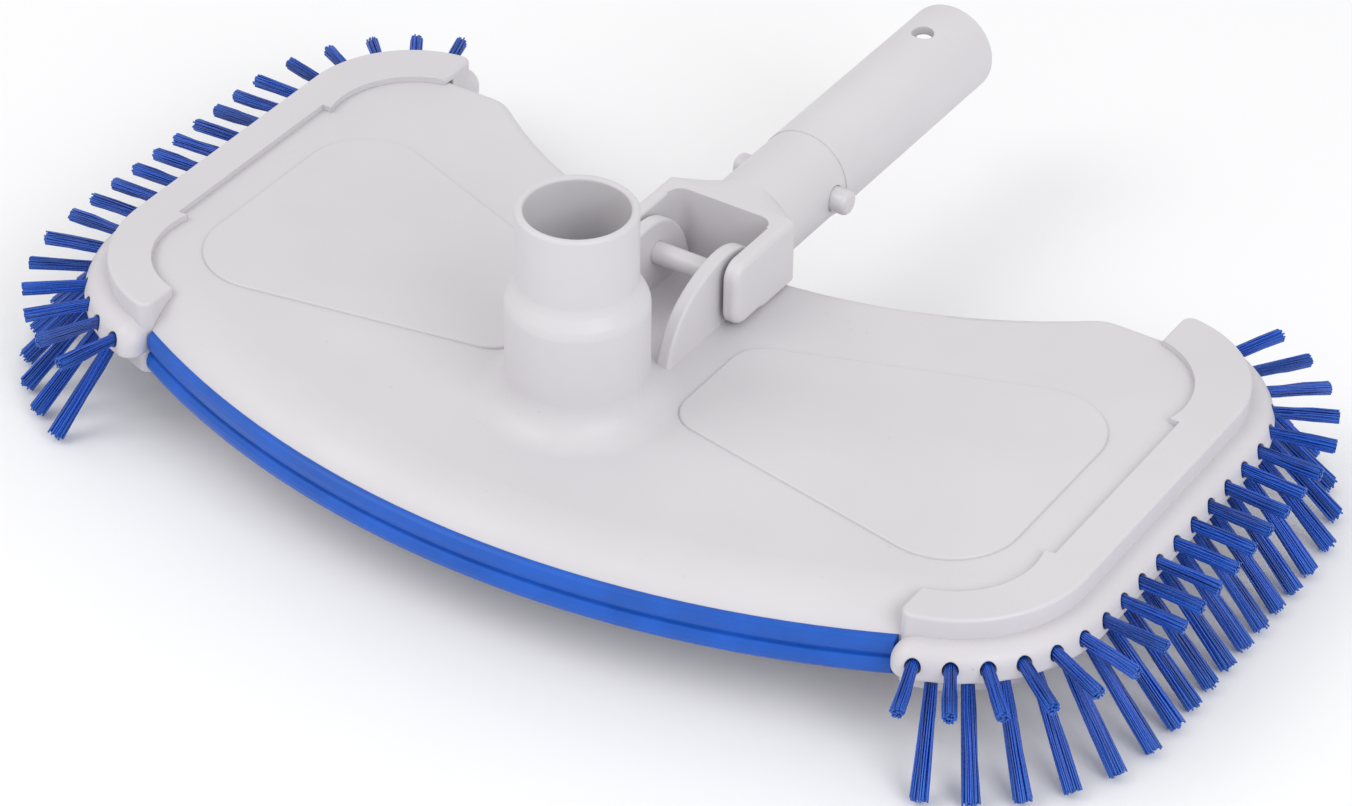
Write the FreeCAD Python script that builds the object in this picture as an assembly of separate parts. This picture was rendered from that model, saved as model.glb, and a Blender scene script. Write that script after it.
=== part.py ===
"""Manual pool vacuum head: a half-moon head with side brushes and a hinged pole handle.

Sizes are in millimetres. The design is drawn with Z = 0 at the lower edge of the body's
skirt and X = Y = 0 on the axis of the hose port. Every node is then moved down, so that the
exported origin is the centre of the port's rim, +X is to the right, +Y towards the handle.
"""
import FreeCAD
import Part

import math
import os

V = FreeCAD.Vector
UP = V(0, 0, 1)

# hose port: a stepped spigot for 32 mm and 38 mm hose cuffs
PORT_RIM_Z = 76.0
PORT_SMALL_R = 16.0
PORT_LARGE_R = 19.0
PORT_BORE_R = 13.8
PORT_CONE_TOP_Z = 54.0
PORT_CONE_BOTTOM_Z = 48.7
PORT_FLARE_R = 9.0
PORT_STEP_ROUND = 5.0
PORT_LIP_R = 0.8

# body shell: half-moon plan between a convex front arc and a concave rear arc
BODY_TOP_Z = 18.0
TOP_WALL = 2.6
SKIRT_WALL = 3.5
FRONT_ARC_Y = 206.5
FRONT_ARC_R = 264.5
FRONT_ROUND_R = 19.57
FRONT_ROUND_WIDTH = 15.0
BUMPER_TOP_Z = 11.0
RIB_X = 40.0
RIB_WALL = 1.6
REAR_ARC_Y = 229.0
REAR_ARC_R = 155.0
REAR_TIP_Y = 108.2
REAR_TIP_FILLET = 12.0
REAR_EDGE_ROUND = 3.5
WING_END_X = 147.2
WING_FRONT_CORNER_R = 37.0
WING_FRONT_CORNER_Y = 3.9
WING_REAR_CORNER_R = 32.0
WING_REAR_CORNER_Y = 85.4
WING_JOIN_X = 112.15

# raised panels on the wings: corners of the right one, with the radius at each corner
PANEL_RAISE = 0.8
PANEL_CORNERS = [
    (25.0, 4.4, 10.0),
    (125.3, -14.0, 20.0),
    (125.3, 78.4, 18.0),
    (25.0, 42.3, 10.0),
]

# front bumper, a soft strip whose tongue is pressed into a groove in the skirt
BUMPER_HALF_X = 115.8
BUMPER_TONGUE_DEPTH = 2.0
BUMPER_TONGUE_LOW_Z = 3.2
BUMPER_TONGUE_HIGH_Z = 6.2
GROOVE_GAP = 0.05

# side brush holders (end caps)
CAP_TOP_Z = 19.8
CAP_LIP_Z = -2.4
CAP_GAP = 0.05
CAP_MIDDLE_Y = 41.0
FLANGE_OUT = 1.0
FLANGE_TOP_ROUND = 0.9
FLANGE_TIP_X = 116.0
FLANGE_INNER_X = 137.0
FLANGE_INNER_HALF_Y = 33.0
FLANGE_LOBE_R = 24.0
FLANGE_LOBE_X = 111.0
FLANGE_LOBE_HALF_Y = 39.5
FLANGE_NOTCH = 1.6
FLANGE_TIP_ROUND = 3.0
BEAD_OUT = 7.8
BEAD_TOP_Z = 13.8
BEAD_LOW_Z = 4.6
BEAD_TIP_X = 116.4
BEAD_TOP_ROUND = 5.8
BEAD_LOW_ROUND = 1.6
BEAD_TIP_ROUND = 4.5

# tufts of bristles
TUFT_ROOT_R = 1.75
UPPER_TIP_R = 2.25
LOWER_TIP_R = 2.9
TUFT_HOLE_R = 2.1
UPPER_ROOT_DEPTH = 4.5
LOWER_ROOT_DEPTH = 3.5
FLOOR_ROOT_DEPTH = 5.0
TUFT_HOLE_GAP = 0.3
UPPER_TUFTS = 21
TUFT_END_MARGIN = 14.0
UPPER_TUFT_Z = 9.2
UPPER_TUFT_LENGTH = 17.0
UPPER_TUFT_DROOP = 2.5
LOWER_TUFT_INSET = 2.8
LOWER_TUFT_Z = 5.0
LOWER_TUFT_TIP_Z = -19.0
LOWER_TUFT_SIDE_TILT = 43.0
LOWER_TUFT_END_TILT = 38.0
FLOOR_TUFT_TIP_Z = -20.0

# base plate, which closes the underside
PLATE_THICKNESS = 2.5
PLATE_GAP = 0.3
MOUTH_HALF_X = 35.0
MOUTH_HALF_Y = 13.0
TUFT_BLOCK_HALF = 4.5
TUFT_BLOCK_HEIGHT = 7.5
FRONT_ROW_R = 230.0
FRONT_ROW_HALF_DEG = 21.0
FRONT_ROW_TUFTS = 17
REAR_ROW_R = 168.0
REAR_ROW_HALF_DEG = 29.0
REAR_ROW_TUFTS = 15

# steel weights, one under each raised panel
WEIGHT_X = (48.0, 112.0)
WEIGHT_Y = (4.0, 46.0)
WEIGHT_HEIGHT = 10.0
WEIGHT_CORNER_R = 5.0
WEIGHT_RIB = 1.6
WEIGHT_RIB_GAP = 0.4
WEIGHT_RIB_HEIGHT = 6.0

# screws
SCREW_R = 1.75
SCREW_HEAD_R = 3.2
SCREW_HEAD_HEIGHT = 1.7
BOSS_R = 4.2
PLATE_SCREW_LENGTH = 11.0
CAP_SCREW_LENGTH = 12.0
SCREW_HOLE_SPARE = 0.5
PLATE_SCREWS = [(0.0, -36.0), (0.0, 46.0), (64.0, -28.0), (-64.0, -28.0), (101.0, 60.0), (-101.0, 60.0)]
CAP_SCREWS = [(141.3, 41.0), (133.5, -17.0), (133.5, 99.0)]

# hinge between the body and the handle
HINGE_Y = 53.0
HINGE_Z = 29.0
LUG_INNER_X = 10.0
LUG_OUTER_X = 14.0
LUG_EDGE_ROUND = 0.8
LUG_OUTLINE = [
    (21.4, 17.5),
    (23.3, 24.0),
    (29.5, 32.1),
    (36.5, 36.2),
    (46.0, 38.8),
    (55.0, 38.2),
    (62.5, 33.4),
    (67.6, 25.4),
    (69.8, 17.5),
]
PIN_R = 3.1
PIN_RUNNING_GAP = 0.08
PIN_HALF_LENGTH = 18.6
PIN_HOLE_HALF_LENGTH = 18.8

# handle: yoke and tube
ARM_INNER_X = 15.5
ARM_OUTER_X = 20.0
ARM_FRONT_Y = 45.2
ARM_TOP_Z = 38.6
ARM_BOTTOM_Z = 19.2
ARM_CORNER_R = 5.0
ARM_INNER_ROUND = 0.8
HEEL_Z = 18.4
HEEL_FRONT_Y = 60.0
NECK_CORNER_R = 2.0
YOKE_REAR_Y = 73.8
YOKE_WALL = 3.0
YOKE_INNER_R = 4.0
TUBE_Z = 25.3
TUBE_R = 13.75
TUBE_RELIEF = 0.25
TUBE_RELIEF_END_Y = 112.0
TUBE_BORE_R = 11.25
TUBE_START_Y = 83.0
TUBE_BORE_START_Y = 82.0
TUBE_END_Y = 193.0
LOCK_HOLE_R = 3.25
LOCK_HOLE_Y = 175.5

# sprung lock buttons
BUTTON_Y = 106.5
BUTTON_R = 3.6
BUTTON_GAP = 0.15
BUTTON_TIP_X = 18.3
BUTTON_DOME = 1.6
BUTTON_FLANGE_R = 4.4
BUTTON_FLANGE_X = (8.6, 10.1)
SPRING_THICKNESS = 0.8
SPRING_HALF_WIDTH = 3.5
SPRING_BEND_Y = 88.0
SPRING_BEND_R = 2.4
SPRING_END_Y = 116.0


def export(node, shape):
    """Write one node, moved so that the rim of the hose port is at the origin."""
    shape = shape.copy()
    shape.translate(V(0, 0, -PORT_RIM_Z))
    if not shape.isValid():
        print("not valid:", node)
    print("%-24s solids %3d  volume %10.1f" % (node, len(shape.Solids), shape.Volume))
    shape.exportStep("parts/%s.step" % node)


def mirrored(shape):
    """The same shape on the left side."""
    return shape.mirror(V(0, 0, 0), V(1, 0, 0))


def fused(shapes):
    """One solid from several that touch or overlap."""
    result = shapes[0].multiFuse(shapes[1:]) if len(shapes) > 1 else shapes[0]
    return result.removeSplitter()


def block(x0, x1, y0, y1, z0, z1):
    return Part.makeBox(x1 - x0, y1 - y0, z1 - z0, V(x0, y0, z0))


def cylinder(x, y, z0, z1, radius):
    return Part.makeCylinder(radius, z1 - z0, V(x, y, z0), UP)


def prism(edges, z0, z1):
    """A closed chain of edges at Z = 0, as a solid between two heights."""
    face = Part.Face(Part.Wire(Part.__sortEdges__(edges)))
    face.translate(V(0, 0, z0))
    return face.extrude(V(0, 0, z1 - z0))


def polygon_prism(points, z0, z1):
    wire = Part.makePolygon([V(x, y, 0) for x, y in points] + [V(points[0][0], points[0][1], 0)])
    face = Part.Face(wire)
    face.translate(V(0, 0, z0))
    return face.extrude(V(0, 0, z1 - z0))


def side_prism(points, x0, x1):
    """A closed outline of (y, z) points, as a solid between two values of X."""
    wire = Part.makePolygon([V(x0, y, z) for y, z in points] + [V(x0, points[0][0], points[0][1])])
    return Part.Face(wire).extrude(V(x1 - x0, 0, 0))


def revolved(points, centre_y):
    """A closed outline of (radius, z) points, turned about the vertical axis at centre_y."""
    wire = Part.makePolygon([V(r, 0, z) for r, z in points] + [V(points[0][0], 0, points[0][1])])
    solid = Part.Face(wire).revolve(V(0, 0, 0), UP, 360)
    solid.translate(V(0, centre_y, 0))
    return solid


def fillet_where(solid, radius, test):
    """Round the edges whose middle point passes the test."""
    edges = [e for e in solid.Edges if test(e)]
    return solid.makeFillet(radius, edges)


def middle(edge):
    return edge.valueAt((edge.FirstParameter + edge.LastParameter) / 2)


def is_vertical(edge):
    box = edge.BoundBox
    return box.XLength < 1e-6 and box.YLength < 1e-6


def near_x(edge, x):
    return abs(middle(edge).x - x) < 0.5


def is_corner(edge, x, y):
    """True on a vertical edge at (x, y) or at (-x, y)."""
    point = middle(edge)
    return is_vertical(edge) and abs(abs(point.x) - x) < 0.1 and abs(point.y - y) < 0.1


def is_level(edge, z):
    box = edge.BoundBox
    return box.ZLength < 1e-4 and abs(box.ZMin - z) < 1e-3


def wing_envelope(grow, z0, z1):
    """The rounded rectangle that bounds both wings, grown sideways by some distance."""
    front_r = WING_FRONT_CORNER_R + grow
    rear_r = WING_REAR_CORNER_R + grow
    half_x = WING_END_X + grow
    solid = block(-half_x, half_x, WING_FRONT_CORNER_Y - front_r, WING_REAR_CORNER_Y + rear_r, z0, z1)
    solid = fillet_where(solid, front_r, lambda e: is_vertical(e) and middle(e).y < CAP_MIDDLE_Y)
    return fillet_where(solid, rear_r, lambda e: is_corner(e, half_x, WING_REAR_CORNER_Y + rear_r))


def body_envelope(inset, z0, z1):
    """The half-moon plan, as a solid between two heights, with every side moved in by inset."""
    solid = fused([wing_envelope(-inset, z0, z1), block(-WING_JOIN_X, WING_JOIN_X, -100, 60, z0, z1)])
    solid = solid.common(cylinder(0, FRONT_ARC_Y, z0, z1, FRONT_ARC_R - inset))
    solid = solid.cut(cylinder(0, REAR_ARC_Y, z0 - 1, z1 + 1, REAR_ARC_R + inset))
    solid = solid.cut(block(-200, 200, REAR_TIP_Y - inset, 200, z0 - 1, z1 + 1))
    tip_x = math.sqrt((REAR_ARC_R + inset) ** 2 - (REAR_ARC_Y - REAR_TIP_Y + inset) ** 2)

    def at_tip(edge):
        return is_vertical(edge) and abs(abs(middle(edge).x) - tip_x) < 1

    return fillet_where(solid, REAR_TIP_FILLET, at_tip)


def front_round(grow=0.0):
    """A disc whose upper rim rounds down to the bumper, centred on the front arc's centre."""
    drop = BODY_TOP_Z - BUMPER_TOP_Z
    rim_r = FRONT_ARC_R + grow
    start_r = rim_r - FRONT_ROUND_WIDTH
    turn = math.asin(FRONT_ROUND_WIDTH / FRONT_ROUND_R) / 2
    mid = V(start_r + FRONT_ROUND_R * math.sin(turn), 0, BODY_TOP_Z - FRONT_ROUND_R * (1 - math.cos(turn)))
    rim = V(rim_r, 0, BODY_TOP_Z - drop)
    edges = [
        Part.LineSegment(V(0, 0, 0), V(0, 0, BODY_TOP_Z)).toShape(),
        Part.LineSegment(V(0, 0, BODY_TOP_Z), V(start_r, 0, BODY_TOP_Z)).toShape(),
        Part.Arc(V(start_r, 0, BODY_TOP_Z), mid, rim).toShape(),
        Part.LineSegment(rim, V(rim_r, 0, 0)).toShape(),
        Part.LineSegment(V(rim_r, 0, 0), V(0, 0, 0)).toShape(),
    ]
    disc = Part.Face(Part.Wire(edges)).revolve(V(0, 0, 0), UP, 360)
    disc.translate(V(0, FRONT_ARC_Y, 0))
    return disc


def raised_panel():
    """The right wing's panel, a low step on the shell's top."""
    points = [(x, y) for x, y, _ in PANEL_CORNERS]
    solid = polygon_prism(points, BODY_TOP_Z - 0.5, BODY_TOP_Z + PANEL_RAISE)
    for x, y, radius in PANEL_CORNERS:

        def at_corner(edge, x=x, y=y):
            return is_vertical(edge) and (middle(edge) - V(x, y, middle(edge).z)).Length < 0.5

        solid = fillet_where(solid, radius, at_corner)
    top_z = BODY_TOP_Z + PANEL_RAISE
    return fillet_where(solid, PANEL_RAISE * 0.6, lambda e: is_level(e, top_z))


def hose_port():
    """The stepped spigot with its flared foot, still solid inside."""
    flare_top = BODY_TOP_Z + PORT_FLARE_R
    foot_r = PORT_LARGE_R + PORT_FLARE_R
    turn = math.sqrt(0.5)
    flare_mid = V(foot_r - PORT_FLARE_R * turn, 0, flare_top - PORT_FLARE_R * turn)
    flare_end = V(foot_r, 0, BODY_TOP_Z)
    line = [
        V(PORT_LARGE_R, 0, flare_top),
        V(PORT_LARGE_R, 0, PORT_CONE_BOTTOM_Z),
        V(PORT_SMALL_R, 0, PORT_CONE_TOP_Z),
        V(PORT_SMALL_R, 0, PORT_RIM_Z),
        V(0, 0, PORT_RIM_Z),
        V(0, 0, BODY_TOP_Z - 1),
        V(foot_r, 0, BODY_TOP_Z - 1),
        flare_end,
    ]
    edges = [Part.LineSegment(a, b).toShape() for a, b in zip(line[:-1], line[1:])]
    edges.append(Part.Arc(flare_end, flare_mid, line[0]).toShape())
    solid = Part.Face(Part.Wire(edges)).revolve(V(0, 0, 0), UP, 360)

    def at_step(edge):
        return is_level(edge, PORT_CONE_TOP_Z) or is_level(edge, PORT_CONE_BOTTOM_Z)

    return fillet_where(solid, PORT_STEP_ROUND, at_step)


def hinge_lug():
    """The right lug: an arch that rises from behind the port, passes over the pin and comes down."""
    points = [V(LUG_INNER_X, y, z) for y, z in LUG_OUTLINE]
    curve = Part.BSplineCurve()
    curve.interpolate(points)
    foot_z = BODY_TOP_Z - 1
    rear = V(LUG_INNER_X, points[-1].y, foot_z)
    front = V(LUG_INNER_X, points[0].y, foot_z)
    line = [points[-1], rear, front, points[0]]
    edges = [curve.toShape()] + [Part.LineSegment(a, b).toShape() for a, b in zip(line[:-1], line[1:])]
    solid = Part.Face(Part.Wire(edges)).extrude(V(LUG_OUTER_X - LUG_INNER_X, 0, 0))

    def on_arch(edge):
        return edge.BoundBox.XLength < 1e-6 and middle(edge).z > BODY_TOP_Z + 3 and edge.Length > 20

    return fillet_where(solid, LUG_EDGE_ROUND, on_arch)


def screw_boss(x, y, z0):
    return cylinder(x, y, z0, BODY_TOP_Z - TOP_WALL + 0.5, BOSS_R)


def bumper_groove_ring(low_z, high_z, depth):
    """A ring just inside the front arc, for the bumper's tongue and for its groove."""
    outer = cylinder(0, FRONT_ARC_Y, low_z, high_z, FRONT_ARC_R + 0.2)
    inner = cylinder(0, FRONT_ARC_Y, low_z - 1, high_z + 1, FRONT_ARC_R - depth)
    ring = outer.cut(inner)
    return ring.common(block(-BUMPER_HALF_X, BUMPER_HALF_X, -100, 60, low_z - 1, high_z + 1))


def cap_side_block():
    """Everything on one side beyond the tips of the end cap's flange."""
    return block(FLANGE_TIP_X, 200, -100, 200, -50, 60)


def inner_flange_region(z0, z1):
    """The area of the right wing that the cap's flange leaves open, as a tall solid."""
    half = FLANGE_INNER_HALF_Y
    centre_y = CAP_MIDDLE_Y
    lobe_y = FLANGE_LOBE_HALF_Y
    parts = [block(0, FLANGE_INNER_X, centre_y - half, centre_y + half, z0, z1)]
    parts.append(block(0, FLANGE_LOBE_X + FLANGE_LOBE_R - FLANGE_NOTCH, centre_y - lobe_y,
                       centre_y + lobe_y, z0, z1))
    for side in (-1, 1):
        parts.append(cylinder(FLANGE_LOBE_X, centre_y + side * lobe_y, z0, z1, FLANGE_LOBE_R))
    parts.append(block(0, FLANGE_LOBE_X, centre_y - lobe_y - FLANGE_LOBE_R,
                       centre_y + lobe_y + FLANGE_LOBE_R, z0, z1))
    return fused(parts)


def body_shell():
    outer = body_envelope(0, 0, BODY_TOP_Z).common(front_round())
    rear = REAR_ARC_R

    def rear_top(edge):
        point = middle(edge)
        on_arc = abs(math.hypot(point.x, point.y - REAR_ARC_Y) - rear) < 0.5
        at_tip = point.y > 95 and abs(point.x) < FLANGE_TIP_X + 14
        return is_level(edge, BODY_TOP_Z) and (on_arc or at_tip) and point.y > 60

    outer = fillet_where(outer, REAR_EDGE_ROUND, rear_top)
    cavity = body_envelope(SKIRT_WALL, -1, BODY_TOP_Z - TOP_WALL)
    ceiling = front_round()
    ceiling.translate(V(0, SKIRT_WALL * 0.6, -TOP_WALL))
    cavity = cavity.common(fused([ceiling, cylinder(0, FRONT_ARC_Y, -2, 3, FRONT_ARC_R)]))
    shell = outer.cut(cavity)
    panel = raised_panel()
    lug = hinge_lug()
    additions = [shell, hose_port(), panel, mirrored(panel), lug, mirrored(lug)]
    for x, y in PLATE_SCREWS:
        additions.append(screw_boss(x, y, PLATE_THICKNESS).common(outer))
    for x, y in CAP_SCREWS:
        for sign in (-1, 1):
            additions.append(screw_boss(sign * x, y, 0).common(outer))
    inside = body_envelope(1, 0, BODY_TOP_Z - 1)
    for rib_x in (-RIB_X, RIB_X):
        half = RIB_WALL / 2
        rib = block(rib_x - half, rib_x + half, -50, 90, PLATE_THICKNESS, BODY_TOP_Z - 1)
        additions.append(rib.common(inside).common(front_round()))
    shell = fused(additions)
    shell = shell.cut(cylinder(0, 0, -1, PORT_RIM_Z + 1, PORT_BORE_R))
    pin_hole = Part.makeCylinder(PIN_R + PIN_RUNNING_GAP, 60, V(-30, HINGE_Y, HINGE_Z), V(1, 0, 0))
    shell = shell.cut(pin_hole)
    shell = shell.cut(bumper_groove_ring(BUMPER_TONGUE_LOW_Z - GROOVE_GAP, BUMPER_TONGUE_HIGH_Z + GROOVE_GAP,
                                         BUMPER_TONGUE_DEPTH + GROOVE_GAP))
    for x, y in PLATE_SCREWS:
        shell = shell.cut(cylinder(x, y, 0, PLATE_SCREW_LENGTH + SCREW_HOLE_SPARE, SCREW_R))
    for x, y in CAP_SCREWS:
        for sign in (-1, 1):
            top = CAP_LIP_Z + CAP_SCREW_LENGTH + SCREW_HOLE_SPARE
            shell = shell.cut(cylinder(sign * x, y, -1, top, SCREW_R))
    for row in (front_row(), rear_row()):
        pocket = row_block(row, PLATE_GAP, PLATE_THICKNESS)
        shell = shell.cut(pocket)
    rim_edges = [e for e in shell.Edges
                 if is_level(e, PORT_RIM_Z) and math.hypot(e.valueAt(0).x, e.valueAt(0).y) > PORT_BORE_R - 1]
    return shell.makeFillet(PORT_LIP_R, rim_edges)


def front_row():
    """Places of the tufts along the front of the underside, and the circle that they lie on."""
    return {
        "centre_y": FRONT_ARC_Y,
        "radius": FRONT_ROW_R,
        "half_deg": FRONT_ROW_HALF_DEG,
        "count": FRONT_ROW_TUFTS,
    }


def rear_row():
    return {
        "centre_y": REAR_ARC_Y,
        "radius": REAR_ROW_R,
        "half_deg": REAR_ROW_HALF_DEG,
        "count": REAR_ROW_TUFTS,
    }


def row_points(row):
    step = 2 * row["half_deg"] / (row["count"] - 1)
    for i in range(row["count"]):
        angle = math.radians(-row["half_deg"] + i * step)
        yield row["radius"] * math.sin(angle), row["centre_y"] - row["radius"] * math.cos(angle)


def row_block(row, grow, z0):
    """The curved block in the base plate that one row of tufts is set in."""
    half = TUFT_BLOCK_HALF + grow
    top = TUFT_BLOCK_HEIGHT + grow
    reach = math.radians(row["half_deg"]) + (half / row["radius"])
    outer_r = row["radius"] + half
    inner_r = row["radius"] - half

    def point(radius, angle):
        return V(radius * math.sin(angle), row["centre_y"] - radius * math.cos(angle), 0)

    edges = [
        Part.Arc(point(outer_r, -reach), point(outer_r, 0), point(outer_r, reach)).toShape(),
        Part.LineSegment(point(outer_r, reach), point(inner_r, reach)).toShape(),
        Part.Arc(point(inner_r, reach), point(inner_r, 0), point(inner_r, -reach)).toShape(),
        Part.LineSegment(point(inner_r, -reach), point(outer_r, -reach)).toShape(),
    ]
    return prism(edges, z0, top)


def weight_frame(grow, z0, z1):
    """The outline of the right weight, grown, between two heights."""
    x0, x1 = WEIGHT_X
    y0, y1 = WEIGHT_Y
    solid = block(x0 - grow, x1 + grow, y0 - grow, y1 + grow, z0, z1)
    return fillet_where(solid, WEIGHT_CORNER_R + grow, is_vertical)


def base_plate():
    plate = body_envelope(SKIRT_WALL + PLATE_GAP, 0, PLATE_THICKNESS)
    region = inner_flange_region(-1, PLATE_THICKNESS + 1)
    region.translate(V(-PLATE_GAP, 0, 0))
    tip_x = FLANGE_TIP_X - PLATE_GAP
    middle_region = block(-tip_x, tip_x, -100, 200, -1, PLATE_THICKNESS + 1)
    region = fused([region, mirrored(region), middle_region])
    plate = plate.common(region)
    parts = [plate, row_block(front_row(), 0, 0), row_block(rear_row(), 0, 0)]
    for side in (1, -1):
        grow = WEIGHT_RIB_GAP + WEIGHT_RIB
        rib = weight_frame(grow, 0, PLATE_THICKNESS + WEIGHT_RIB_HEIGHT)
        rib = rib.cut(weight_frame(WEIGHT_RIB_GAP, PLATE_THICKNESS, PLATE_THICKNESS + 20))
        parts.append(rib if side == 1 else mirrored(rib))
    plate = fused(parts)
    mouth = block(-MOUTH_HALF_X, MOUTH_HALF_X, -MOUTH_HALF_Y, MOUTH_HALF_Y, -1, PLATE_THICKNESS + 1)
    plate = plate.cut(fillet_where(mouth, MOUTH_HALF_Y - 1, is_vertical))
    for x, y in PLATE_SCREWS:
        plate = plate.cut(screw_seat(x, y, 0))
    for row in (front_row(), rear_row()):
        for x, y in row_points(row):
            plate = plate.cut(cylinder(x, y, -1, FLOOR_ROOT_DEPTH + TUFT_HOLE_GAP, TUFT_HOLE_R))
    return plate


def screw_seat(x, y, z):
    """A countersunk through hole whose mouth is at height z."""
    cone = Part.makeCone(SCREW_HEAD_R, SCREW_R, SCREW_HEAD_HEIGHT, V(x, y, z), UP)
    return fused([cone, cylinder(x, y, z - 1, z + 20, SCREW_R), cylinder(x, y, z - 1, z, SCREW_HEAD_R)])


def screw(x, y, z, length):
    """A countersunk screw, head down, with its flat head at height z and a cross slot."""
    head = Part.makeCone(SCREW_HEAD_R, SCREW_R, SCREW_HEAD_HEIGHT, V(x, y, z), UP)
    shank = cylinder(x, y, z, z + length - 2, SCREW_R)
    tip = Part.makeCone(SCREW_R, 0.4, 2, V(x, y, z + length - 2), UP)
    solid = fused([head, shank, tip])
    for dx, dy in ((1.9, 0.45), (0.45, 1.9)):
        solid = solid.cut(block(x - dx, x + dx, y - dy, y + dy, z - 1, z + 0.9))
    return solid


def front_bumper():
    """A strip with an upper band, a groove and a rounded lower band, bent along the front arc."""
    base = FRONT_ARC_R
    outline = [
        (base, 0.0),
        (base + 2.0, 0.0),
        (base + 2.9, 1.0),
        (base + 3.2, 2.4),
        (base + 3.0, 3.8),
        (base + 2.2, 4.9),
        (base + 1.3, 5.2),
        (base + 1.3, 5.9),
        (base + 2.0, 6.3),
        (base + 2.2, 8.4),
        (base + 1.9, 10.2),
        (base + 1.1, 11.0),
        (base, 11.0),
    ]
    strip = revolved(outline, FRONT_ARC_Y)
    strip = strip.common(block(-BUMPER_HALF_X, BUMPER_HALF_X, -100, 60, -1, 20))
    tongue = bumper_groove_ring(BUMPER_TONGUE_LOW_Z, BUMPER_TONGUE_HIGH_Z, BUMPER_TONGUE_DEPTH)
    return fused([strip, tongue])


def cap_path(distance):
    """Point and outward direction on the right bead's outer line, by distance from its front tip."""
    front_r = WING_FRONT_CORNER_R + BEAD_OUT
    rear_r = WING_REAR_CORNER_R + BEAD_OUT
    straight_start = front_r * math.pi / 2
    straight_end = straight_start + WING_REAR_CORNER_Y - WING_FRONT_CORNER_Y
    if distance < straight_start:
        radius = front_r
        centre = V(WING_END_X - WING_FRONT_CORNER_R, WING_FRONT_CORNER_Y, 0)
        angle = (distance - straight_start) / radius
    elif distance < straight_end:
        y = WING_FRONT_CORNER_Y + distance - straight_start
        return V(WING_END_X + BEAD_OUT, y, 0), V(1, 0, 0)
    else:
        radius = rear_r
        centre = V(WING_END_X - WING_REAR_CORNER_R, WING_REAR_CORNER_Y, 0)
        angle = (distance - straight_end) / radius
    out = V(math.cos(angle), math.sin(angle), 0)
    return centre + out * radius, out


def cap_path_length():
    corners = WING_FRONT_CORNER_R + WING_REAR_CORNER_R + 2 * BEAD_OUT
    return corners * math.pi / 2 + WING_REAR_CORNER_Y - WING_FRONT_CORNER_Y


def tuft_place(index):
    """Point and outward direction for an upper tuft, or for the gap after it at a half index."""
    step = (cap_path_length() - 2 * TUFT_END_MARGIN) / (UPPER_TUFTS - 1)
    return cap_path(TUFT_END_MARGIN + index * step)


def tuft(root, direction, depth, length, tip_r):
    """One tuft, widening from its root to its tip. The root point is on the holder's surface."""
    return Part.makeCone(TUFT_ROOT_R, tip_r, length + depth, root - direction * depth, direction)


def tuft_hole(root, direction, depth):
    start = root - direction * (depth + TUFT_HOLE_GAP)
    return Part.makeCylinder(TUFT_HOLE_R, depth + TUFT_HOLE_GAP + TUFT_HOLE_R, start, direction)


def upper_places():
    """Root and direction of the right cap's sideways tufts, which fan out around the corners."""
    droop = math.radians(UPPER_TUFT_DROOP)
    for i in range(UPPER_TUFTS):
        point, out = tuft_place(i)
        yield point + V(0, 0, UPPER_TUFT_Z), out * math.cos(droop) - UP * math.sin(droop)


def lower_places():
    """Root and direction of the right cap's downward tufts, set between the upper ones."""
    for i in range(UPPER_TUFTS - 1):
        point, out = tuft_place(i + 0.5)
        side = out.x ** 2
        tilt = math.radians(LOWER_TUFT_END_TILT + (LOWER_TUFT_SIDE_TILT - LOWER_TUFT_END_TILT) * side)
        root = point - out * LOWER_TUFT_INSET + V(0, 0, LOWER_TUFT_Z)
        yield root, out * math.sin(tilt) - UP * math.cos(tilt)


def upper_tufts():
    return [tuft(root, direction, UPPER_ROOT_DEPTH, UPPER_TUFT_LENGTH, UPPER_TIP_R)
            for root, direction in upper_places()]


def lower_tufts():
    drop = LOWER_TUFT_Z - LOWER_TUFT_TIP_Z
    return [tuft(root, direction, LOWER_ROOT_DEPTH, drop / -direction.z, LOWER_TIP_R)
            for root, direction in lower_places()]


def brush_holder():
    """The right end cap: flat flange on top, rounded bead around the outside, lip underneath."""
    side = cap_side_block()
    band = wing_envelope(FLANGE_OUT, CAP_LIP_Z, CAP_TOP_Z).common(side)
    band = fillet_where(band, FLANGE_TIP_ROUND, lambda e: is_vertical(e) and near_x(e, FLANGE_TIP_X))
    band = fillet_where(band, FLANGE_TOP_ROUND, lambda e: is_level(e, CAP_TOP_Z))
    bead = wing_envelope(BEAD_OUT, BEAD_LOW_Z, BEAD_TOP_Z)
    bead = bead.common(block(BEAD_TIP_X, 200, -100, 200, -50, 60))
    bead = fillet_where(bead, BEAD_TIP_ROUND, lambda e: is_vertical(e) and near_x(e, BEAD_TIP_X))
    bead = fillet_where(bead, BEAD_TOP_ROUND, lambda e: is_level(e, BEAD_TOP_Z))
    bead = fillet_where(bead, BEAD_LOW_ROUND, lambda e: is_level(e, BEAD_LOW_Z))
    cap = fused([band, bead])
    cap = cap.cut(inner_flange_region(-50, 60))
    body = body_envelope(-CAP_GAP, 0, BODY_TOP_Z).common(front_round(CAP_GAP))
    cap = cap.cut(body)
    for x, y in CAP_SCREWS:
        cap = cap.cut(screw_seat(x, y, CAP_LIP_Z))
    for root, direction in upper_places():
        cap = cap.cut(tuft_hole(root, direction, UPPER_ROOT_DEPTH))
    for root, direction in lower_places():
        cap = cap.cut(tuft_hole(root, direction, LOWER_ROOT_DEPTH))
    return cap


def floor_tufts(row):
    down = V(0, 0, -1)
    return [tuft(V(x, y, 0), down, FLOOR_ROOT_DEPTH, -FLOOR_TUFT_TIP_Z, LOWER_TIP_R)
            for x, y in row_points(row)]


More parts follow.
